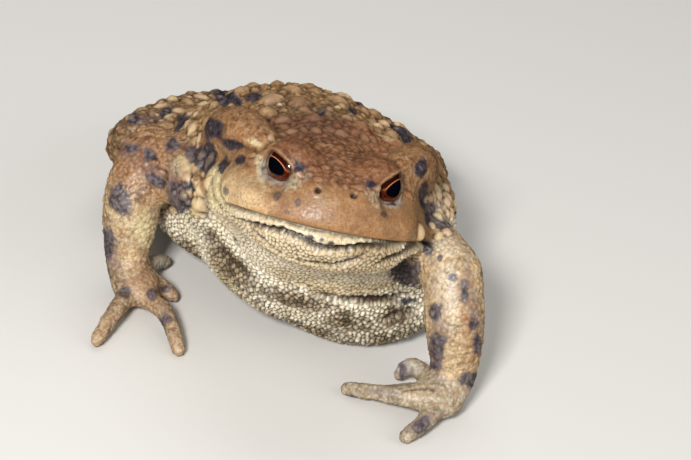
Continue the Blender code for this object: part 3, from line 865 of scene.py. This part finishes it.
# dark blotches: middle, half width and half height in pixels, and turn in degrees
PHOTO_BLOTCHES = (
    ((121, 201), 10, 15, -15), ((108, 243), 7, 14, 0), ((131, 149), 6, 4, 0),
    ((150, 156), 6, 6, 0), ((172, 145), 6, 6, 0), ((155, 181), 10, 5, 40),
    ((186, 188), 11, 7, -10), ((181, 202), 13, 10, 0), ((210, 151), 12, 9, -20),
    ((192, 156), 7, 6, 0), ((203, 164), 6, 7, 0), ((224, 165), 6, 7, 20),
    ((185, 126), 9, 8, 0), ((212, 129), 13, 10, 0), ((233, 144), 9, 5, 15),
    ((124, 293), 6, 6, 0), ((152, 295), 6, 6, 0), ((158, 272), 6, 7, 0),
    ((165, 289), 5, 4, 0), ((168, 319), 4, 5, 0), ((226, 92), 13, 9, 0),
    ((153, 102), 8, 5, 0), ((139, 106), 5, 6, 0), ((134, 119), 6, 5, 0),
    ((187, 86), 9, 5, 0), ((166, 113), 7, 5, 0), ((238, 104), 5, 4, 0),
    ((300, 168), 6, 6, 0), ((277, 196), 4, 4, 0), ((298, 203), 3, 4, 0),
    ((287, 212), 3, 2, 0), ((226, 191), 3, 4, 0), ((372, 185), 6, 4, 30),
    ((384, 214), 4, 3, 0), ((240, 160), 6, 4, -30), ((407, 273), 15, 12, 20),
    ((396, 265), 8, 7, 30), ((452, 277), 5, 4, 0), ((435, 311), 6, 9, 0),
    ((438, 348), 7, 17, 0), ((435, 366), 6, 5, 0), ((473, 324), 5, 7, 0),
    ((477, 342), 4, 11, 0), ((470, 379), 11, 8, 0), ((421, 426), 9, 7, -30),
    ((402, 371), 3, 7, 0), ((464, 292), 4, 13, 0), ((407, 300), 9, 3, -10),
    ((430, 214), 6, 13, 0), ((443, 224), 8, 8, 0), ((423, 193), 5, 14, 0),
    ((421, 168), 6, 8, 0), ((404, 137), 9, 7, 30), ((394, 128), 6, 5, 0),
    ((311, 237), 4, 3, 0), ((331, 243), 4, 3, 0), ((322, 239), 2, 2, 0),
    ((200, 159), 20, 9, 35), ((176, 190), 9, 7, 0), ((236, 238), 2, 2, 0),
    ((440, 258), 3, 4, 0), ((322, 112), 4, 4, 0), ((352, 112), 5, 4, 0),
    ((227, 99), 11, 8, 20), ((183, 120), 7, 6, 0),
)
# the same for pale patches
PHOTO_PATCHES = (
    ((185, 165), 12, 10, 0), ((213, 178), 8, 14, 10), ((216, 198), 11, 12, 20),
    ((256, 143), 7, 3, 20), ((261, 172), 4, 14, -10), ((436, 250), 10, 8, 0),
    ((172, 262), 10, 9, 20), ((158, 268), 14, 16, 60), ((406, 368), 15, 9, 10),
    ((145, 232), 12, 15, 0),
)
# the same for patches of painted shade on the belly
PHOTO_BELLY_SHADE = (
    ((211, 236), 7, 8, 0), ((240, 240), 9, 5, 20), ((228, 262), 34, 11, 48),
    ((300, 300), 34, 8, 15), ((345, 322), 24, 9, 10), ((395, 316), 16, 10, 0),
    ((322, 291), 14, 5, 10), ((302, 272), 9, 5, 0), ((372, 300), 26, 4, 0),
)
# the same for soft changes of tone
SOFT_PATCHES = {
    # painted light: the jaw is paler on its right side, below the eye, where the light comes from
    "cheek_light": (((234, 197), 32, 22, 25),),
    # painted shade over the nape
    "nape_shade": (((315, 122), 44, 18, 5),),
    "pallid": (
        ((446, 290), 13, 40, -8), ((446, 250), 16, 12, 0), ((255, 245), 26, 16, 35),
        ((298, 268), 18, 8, 20), ((360, 276), 34, 7, 0), ((440, 212), 9, 22, 0),
    ),
    "milky": (
        ((226, 228), 30, 12, 42), ((262, 254), 26, 12, 35), ((198, 236), 18, 8, 50),
        ((340, 274), 22, 6, 0), ((376, 276), 20, 7, 0),
    ),
    "bruise": (
        ((438, 335), 8, 44, 5), ((432, 250), 9, 12, 0), ((127, 150), 22, 8, 10),
        ((152, 172), 16, 9, 30), ((111, 250), 8, 24, 0), ((417, 424), 18, 9, -30),
        ((472, 300), 6, 40, -8), ((170, 268), 8, 10, 0), ((404, 372), 8, 9, 0),
        ((380, 392), 22, 3, 8), ((148, 120), 22, 6, -10), ((176, 175), 8, 16, 0),
    ),
    "sienna": (((470, 335), 9, 44, -8), ((140, 158), 24, 18, 0), ((152, 285), 12, 22, -30)),
}


# in millimetres for each pixel, so that a patch stays off what lies behind it
PATCH_REACH = 0.42


def patch(middle, half_width, half_height, turn, ease):
    """How much each point lies in an uneven oval of the photograph."""
    place = sight.place(middle)
    if place is None:
        return np.zeros(skin.count)
    swing = math.radians(turn)
    right, down = pixel_x - middle[0], pixel_y - middle[1]
    along = (right * math.cos(swing) + down * math.sin(swing)) / half_width
    across = (down * math.cos(swing) - right * math.sin(swing)) / half_height
    share = np.hypot(along, across) * (1 + 0.3 * ragged)
    reach = PATCH_REACH * max(half_width, half_height)
    return fade(1 - ease, 1 + ease, share) * (distance_to(place) < reach)


def blotch(place, radius):
    """An uneven dark patch round a place."""
    for _, index, distance in tree.find_range(place, 1.5 * radius):
        share = distance / radius * (1 + 0.32 * ragged[index])
        dark[index] = max(dark[index], 1.0 - min(1.0, max(0.0, (share - 0.55) / 0.7)))


def patches(ovals, ease):
    """How much each point lies in any of some ovals."""
    share = np.zeros(skin.count)
    for oval in ovals:
        share = np.maximum(share, patch(*oval, ease))
    return share


dark = patches(PHOTO_BLOTCHES, 0.3)
masks["cream"] = 0.85 * patches(PHOTO_PATCHES, 0.55)
# painted shade makes the belly greyer low down, and in patches
belly_shade = 0.95 * fade(3.0, 15.0, z) + 0.5 * cloud(skin.points, 4.0, 17) - 0.12
masks["belly_shade"] = np.clip(np.maximum(belly_shade, patches(PHOTO_BELLY_SHADE, 0.6)), 0, 1)
for name, ovals in SOFT_PATCHES.items():
    masks[name] = patches(ovals, 0.7)

# the rest of the body, which the photograph doesn't show, is spotted alike
SAMPLE_STEP = 40
CLEARANCE = 2.0
in_sight = np.zeros(skin.count)
for index in range(0, skin.count, SAMPLE_STEP):
    spot = Vector(skin.points[index])
    ray = (camera_place - spot).normalized()
    if sight.surface.ray_cast(spot + ray * CLEARANCE, ray)[0] is None:
        in_sight[index] = 1.0
hidden = skin.soften(in_sight, 30) <= 0.002
spotted = ((on_torso & (masks["belly"] < 0.3)) | on_leg | on_arm | on_hand) & hidden
for index in scatter(spotted, 7.5):
    blotch(skin.points[index], random.uniform(1.0, 2.6))
masks["dark"] = skin.soften(dark, 5)
# warts stay dark inside the blotches of its right side
masks["pale"] = pale * (1 - 0.75 * masks["dark"] * (x < 0))
masks["shade"] = np.clip(0.6 + 0.8 * cloud(skin.points, 6.0, 41), 0, 1)
# grey smears before the eyes: pixel, radius, strength
LORE_SMEARS = (
    ((294, 183), 1.9, 1.0), ((301, 177), 1.6, 0.8), ((287, 189), 1.1, 0.7),
    ((374, 196), 1.9, 1.0), ((378, 204), 1.2, 0.8), ((323, 199), 1.5, 0.4),
    ((334, 200), 1.3, 0.35),
)
lore = np.zeros(skin.count)
for pixel, radius, strength in LORE_SMEARS:
    gap = distance_to(sight.place(pixel))
    spread = fade(0.2, 1.3, gap / radius * (1 + 0.3 * ragged))
    lore = np.maximum(lore, strength * spread)
masks["lore"] = lore * (1 - dark)
# how proud or sunk the relief is; the colour lightens proud tops as a painted highlight and darkens
# hollows as painted shade
proud = relief - skin.soften(relief, 14)
masks["peak"] = np.clip(proud / 0.2, 0, 1)
masks["hollow"] = np.clip(-proud / 0.16, 0, 1)


# Colours and materials

def tone(code):
    """A linear colour from a hexadecimal one."""
    parts = (int(code[k:k + 2], 16) / 255 for k in (0, 2, 4))
    return tuple(p / 12.92 if p <= 0.04045 else ((p + 0.055) / 1.055) ** 2.4 for p in parts) + (1.0,)


class Shader:
    """Builds a Principled material node by node."""

    def __init__(self, name):
        self.material = bpy.data.materials.new(name)
        self.material.use_nodes = True
        self.tree = self.material.node_tree
        self.surface = self.tree.nodes["Principled BSDF"]

    def node(self, kind, **settings):
        node = self.tree.nodes.new(kind)
        for key, value in settings.items():
            setattr(node, key, value)
        return node

    def feed(self, socket, value):
        """Links a socket, or sets it to a number or to a hexadecimal colour."""
        if isinstance(value, bpy.types.NodeSocket):
            self.tree.links.new(value, socket)
        else:
            socket.default_value = tone(value) if isinstance(value, str) else value

    def fill(self, node, **values):
        """Feeds the inputs of a node, whose names have spaces."""
        for name, value in values.items():
            self.feed(node.inputs[name.replace("_", " ")], value)

    def mask(self, name):
        return self.node("ShaderNodeAttribute", attribute_name=name).outputs["Fac"]

    def maths(self, operation, a, b=0.0):
        node = self.node("ShaderNodeMath", operation=operation)
        self.feed(node.inputs[0], a)
        self.feed(node.inputs[1], b)
        return node.outputs[0]

    def times(self, a, b):
        return self.maths("MULTIPLY", a, b)

    def mix(self, share, a, b, blend="MIX"):
        node = self.node("ShaderNodeMix", data_type="RGBA", blend_type=blend)
        self.fill(node, Factor=share, A=a, B=b)
        return node.outputs["Result"]

    def lay(self, base, *layers):
        """A colour with others laid over it in turn: the share, strength and colour of each."""
        for share, strength, over in layers:
            base = self.mix(self.times(share, strength), base, over)
        return base

    def noise(self, size, detail=3.0, roughness=0.55):
        """Noise from 0 to 1 with lumps of this size in millimetres."""
        node = self.node("ShaderNodeTexNoise")
        place = self.node("ShaderNodeTexCoord").outputs["Object"]
        self.fill(node, Vector=place, Scale=1 / (size * MM), Detail=detail, Roughness=roughness)
        return node.outputs["Fac"]

    def span(self, value, low, high):
        """A value's share of the way from low to high, smoothed and held between 0 and 1."""
        node = self.node("ShaderNodeMapRange", interpolation_type="SMOOTHSTEP")
        self.fill(node, Value=value, From_Min=low, From_Max=high)
        return node.outputs["Result"]


def skin_material():
    s = Shader("skin")
    speckle = s.span(s.noise(0.42, 2.0), 0.40, 0.60)
    fine = s.span(s.noise(1.1, 3.0, 0.6), 0.40, 0.60)
    broad = s.span(s.noise(3.5), 0.38, 0.62)
    shade = s.mask("shade")
    grain = s.mask("grain")
    tint = s.mask("tint")

    def mottled(deep, middle, light, strength=0.6):
        """Three tones mixed by broad, fine and finest noise."""
        tones = (broad, strength, deep), (fine, strength, light), (speckle, 0.4, deep)
        return s.lay(middle, *tones)

    back = mottled("4a3325", "8d6a43", "bf9a69")
    leg = mottled("4b3724", "7f6040", "a78a60")
    limb = mottled("775d42", "c6a67a", "e6d0a8", 0.7)
    elbow = mottled("4e3930", "a17752", "cba275", 0.7)
    hand = mottled("776a57", "b5a184", "d8c9af", 0.7)
    tanned = mottled("6e5a48", "b0906d", "d6bd9b", 0.7)
    jaw = mottled("77553a", "9d734b", "bb9161", 0.45)
    # painted light on the jaw's lit side
    jaw = s.mix(s.mask("cheek_light"), jaw, mottled("a5845a", "dcb889", "f0d8ac", 0.4))
    dots = s.span(s.noise(0.55, 1.0), 0.55, 0.64)
    jaw = s.lay(jaw, (dots, 0.4, "6b4a33"))
    crown = mottled("523322", "87593b", "ad7b54")
    gland = mottled("61422b", "986c46", "c0996c", 0.6)
    # painted shade: the belly darker low down and in patches, its granule gaps darkest
    belly_shade = s.mask("belly_shade")
    belly = s.lay(
        s.mix(shade, "d3c5a2", "fbf1db"),
        (fine, 0.25, "ab9b78"),
        (belly_shade, 0.8, "8f7650"),
        (belly_shade, s.span(tint, 1.0, 0.1), "5f513c"),
    )
    # painted shade in the gaps between the granules, deepest where the belly is shaded
    gap = s.mix(belly_shade, s.mix(shade, "4a4132", "a99a78"), "16130f")
    belly = s.mix(s.span(grain, -0.25, 0.85), gap, belly)
    chin = s.mix(shade, "9a805a", "c8b288")
    # painted shade between the chin's granules
    chin_gap_shade = s.mix(belly_shade, "6b4d35", "23170f")
    chin = s.mix(s.span(grain, -0.1, 0.85), chin_gap_shade, chin)
    belly = s.mix(s.mask("chin"), belly, chin)
    # the cream patches and the lip have painted shade between their granules too
    cream = s.mix(s.span(grain, -0.2, 0.6), "a48f62", "ddcda0")
    lip = mottled("bfa67c", "e6d7b2", "f8efd6")
    lip = s.mix(s.span(grain, -0.3, 0.5), "9c8058", lip)

    colour = back
    for name, layer in (
        ("leg", leg), ("limb", s.mix(s.mask("elbow"), limb, elbow)),
        ("hand", s.mix(s.mask("tanned"), hand, tanned)),
        ("jaw", jaw), ("crown", crown), ("gland", gland), ("belly", belly), ("lip", lip),
        ("cream", s.mix(s.mask("hand"), cream, "c9c3b5")),
    ):
        colour = s.mix(s.mask(name), colour, layer)
    plain = s.maths("SUBTRACT", 1.0, s.mask("belly"))
    # painted highlight: the proud tops are lightened, except on the belly
    light = s.times(s.mask("peak"), plain)
    colour = s.mix(s.times(light, 0.5), colour, "d8b98a", "SOFT_LIGHT")
    on_warts = s.times(s.mask("wart"), plain)
    light_wart = s.mix(s.mask("wart_tint"), "c9a67c", "997556")
    light_wart = s.mix(s.mask("crown"), light_wart, "946c4e")
    rusty = s.times(s.span(tint, 0.86, 0.9), s.mask("limb"))
    rusty = s.times(rusty, s.span(grain, 0.2, 0.8))
    raised = s.span(grain, -0.4, 0.7)
    navy = s.mix(fine, "21222e", "383642")
    navy = s.mix(s.mask("limb"), navy, s.mix(fine, "38333d", "665b5e"))
    navy = s.lay(navy, (s.span(tint, 0.7, 1.0), grain, "6b6060"))
    edge = s.mask("dark")
    for wobble, strength in ((tint, 0.2), (fine, 0.4)):
        wobble = s.times(s.maths("SUBTRACT", wobble, 0.5), strength)
        edge = s.maths("ADD", edge, wobble)
    hold = s.maths("SUBTRACT", 0.93, s.times(s.mask("snout"), 0.25))
    broken = s.span(s.noise(0.8, 2.0), 0.62, 0.42)
    specks = s.span(s.noise(0.9, 1.0), 0.66, 0.72)
    colour = s.lay(
        colour,
        (on_warts, 0.5, light_wart),
        (rusty, 0.45, "a07050"),
        # painted shade over the nape
        (s.mask("nape_shade"), 0.55, "5b3f30"),
        (s.times(s.mask("pallid"), raised), 0.28, "f6ecd8"),
        (s.times(s.mask("milky"), raised), 0.36, "f4ead0"),
        (s.mask("sienna"), 0.38, "996339"),
        (s.times(s.mask("bruise"), s.span(fine, -0.6, 0.9)), 0.6, "6b595c"),
        (s.span(edge, 0.05, 0.8), hold, navy),
        (s.mask("pale"), 0.7, s.mix(s.mask("wart_tint"), "d6c091", "c9a887")),
        (s.times(s.mask("lore"), broken), 0.62, "bdbda2"),
        (s.mask("lid"), 0.75, s.mix(fine, "83756b", "b0a396")),
        (s.mask("brow"), 0.5, "b3946c"),
        # painted shade round the eye openings
        (s.mask("rim"), 0.85, "24170f"),
        (s.times(specks, s.mask("limb")), 0.55, "6d6636"),
    )
    # painted shade in the hollows of the relief, and darker still in the creases
    hollow_shade = s.mix(0.75, colour, "241a13")
    colour = s.lay(colour, (s.mask("hollow"), 0.85, hollow_shade), (s.mask("crease"), 0.9, "2e1f16"))
    # the nostrils are painted near black, painted shade inside them
    colour = s.mix(s.mask("nostril"), colour, "0e0907")

    rough = s.maths("MULTIPLY_ADD", fine, 0.18)
    rough.node.inputs[2].default_value = 0.36
    pits = s.node("ShaderNodeBump")
    s.fill(pits, Strength=0.7, Distance=0.12 * MM, Height=s.noise(0.3, 4.0, 0.65))
    s.fill(s.surface, Base_Color=colour, Roughness=rough, Normal=pits.outputs["Normal"])
    s.fill(s.surface, Specular_IOR_Level=0.5, Coat_Weight=0.15, Coat_Roughness=0.25)
    s.fill(s.surface, Subsurface_Weight=0.08, Subsurface_Scale=0.5 * MM)
    s.fill(s.surface, Subsurface_Radius=(1.0, 0.5, 0.3))
    return s.material


def eye_material():
    """A dark red iris round a lying pupil; Z looks out, X runs along the eye and Y up."""
    s = Shader("eye")
    place = s.node("ShaderNodeSeparateXYZ")
    s.fill(place, Vector=s.node("ShaderNodeTexCoord").outputs["Object"])
    across, upward = place.outputs["X"], place.outputs["Y"]

    def ring(half_length, half_height, lift=0.0):
        """1 at the edge of an oval in the plane of the iris."""
        a = s.maths("DIVIDE", across, half_length * MM)
        b = s.maths("DIVIDE", s.maths("SUBTRACT", upward, lift * MM), half_height * MM)
        return s.maths("SQRT", s.maths("ADD", s.maths("POWER", a, 2.0), s.maths("POWER", b, 2.0)))

    streaks = s.span(s.noise(0.35, 4.0, 0.7), 0.35, 0.7)
    iris = s.mix(streaks, "260a05", "692611")
    # a copper line arches over the pupil, and above it the iris is darker, painted shade from the
    # upper lid
    arch = ring(2.75, 1.43, -0.2)
    over = s.span(upward, 0.1 * MM, 0.9 * MM)
    copper = s.span(arch, 0.93, 0.98), over, "cf8358"
    lid_shade = s.span(arch, 1.01, 1.07), over, "2a0d06"
    iris = s.lay(iris, copper, lid_shade)
    iris = s.mix(s.span(ring(3.7, 3.2), 0.8, 1.0), iris, "140a08")
    pupil = s.span(ring(2.45, 1.3, -0.2), 1.06, 0.96)
    colour = s.mix(pupil, iris, "04050c")
    s.fill(s.surface, Base_Color=colour, Roughness=0.12, Coat_Weight=1.0, Coat_Roughness=0.02)
    return s.material


def add_eye(name, material):
    """A fine wet eyeball in place of the plain one."""
    centre, along, lift, gaze = eye_axes(name)
    ball = bmesh.new()
    bmesh.ops.create_uvsphere(ball, u_segments=64, v_segments=48, radius=EYE_RADIUS * MM)
    data = finished("eyeball_" + name, ball)
    data.shade_smooth()
    data.materials.append(material)
    eye = placed("eyeball_" + name, data)
    turn = Matrix((along * SIDES[name], lift, gaze)).transposed()
    place = turn.to_4x4()
    place.translation = centre * MM
    eye.matrix_world = place
    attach(eye, "root")
    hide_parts("eye_" + name)


def finish_skin():
    skin.raise_by(relief)
    skin.points *= MM
    # nothing reaches under the floor
    skin.points[:, 2] = np.maximum(skin.points[:, 2], 0.0)
    skin.store()
    data = skin.item.data
    for name, values in masks.items():
        attribute = data.attributes.new(name, "FLOAT", "POINT")
        attribute.data.foreach_set("value", np.asarray(values, np.float32))
    data.shade_smooth()
    data.materials.clear()
    data.materials.append(skin_material())
    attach(skin.item, "root")
    flesh = [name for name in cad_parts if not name.startswith("eye")]
    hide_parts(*flesh)


# Studio

FLOOR_SIZE = 3.0
SKY_COLOUR = (0.95, 0.97, 1.0, 1.0)
SKY_STRENGTH = 0.2
LIT_PLACE = (0.0, -0.015, 0.02)


def add_light(name, place, size, power, glint=False):
    light = bpy.data.lights.new(name, "AREA")
    light.size = size
    light.energy = power
    item = placed(name, light)
    item.location = place
    aim = Vector(LIT_PLACE) - Vector(place)
    item.rotation_euler = aim.to_track_quat("-Z", "Y").to_euler()
    item.visible_glossy = glint


def add_studio():
    sheet = bmesh.new()
    bmesh.ops.create_grid(sheet, x_segments=1, y_segments=1, size=FLOOR_SIZE)
    data = finished("floor", sheet)
    floor = placed("floor", data)
    paint = Shader("floor")
    paint.fill(paint.surface, Base_Color="d9d6d0", Roughness=0.8)
    data.materials.append(paint.material)
    floor.visible_glossy = False
    world = bpy.data.worlds.new("studio")
    world.use_nodes = True
    sky = world.node_tree.nodes["Background"].inputs
    sky["Color"].default_value = SKY_COLOUR
    sky["Strength"].default_value = SKY_STRENGTH
    world.cycles_visibility.glossy = False
    bpy.context.scene.world = world
    bpy.context.scene.view_settings.view_transform = "Standard"
    add_light("key", (-0.26, -0.58, 0.45), 0.13, 6.9, glint=True)
    add_light("fill", (0.55, -0.35, 0.35), 0.5, 1.4)
    add_light("top", (0.05, 0.35, 0.60), 0.5, 1.4)


finish_skin()
eye_paint = eye_material()
for name in SIDES:
    add_eye(name, eye_paint)
add_studio()
add_camera()
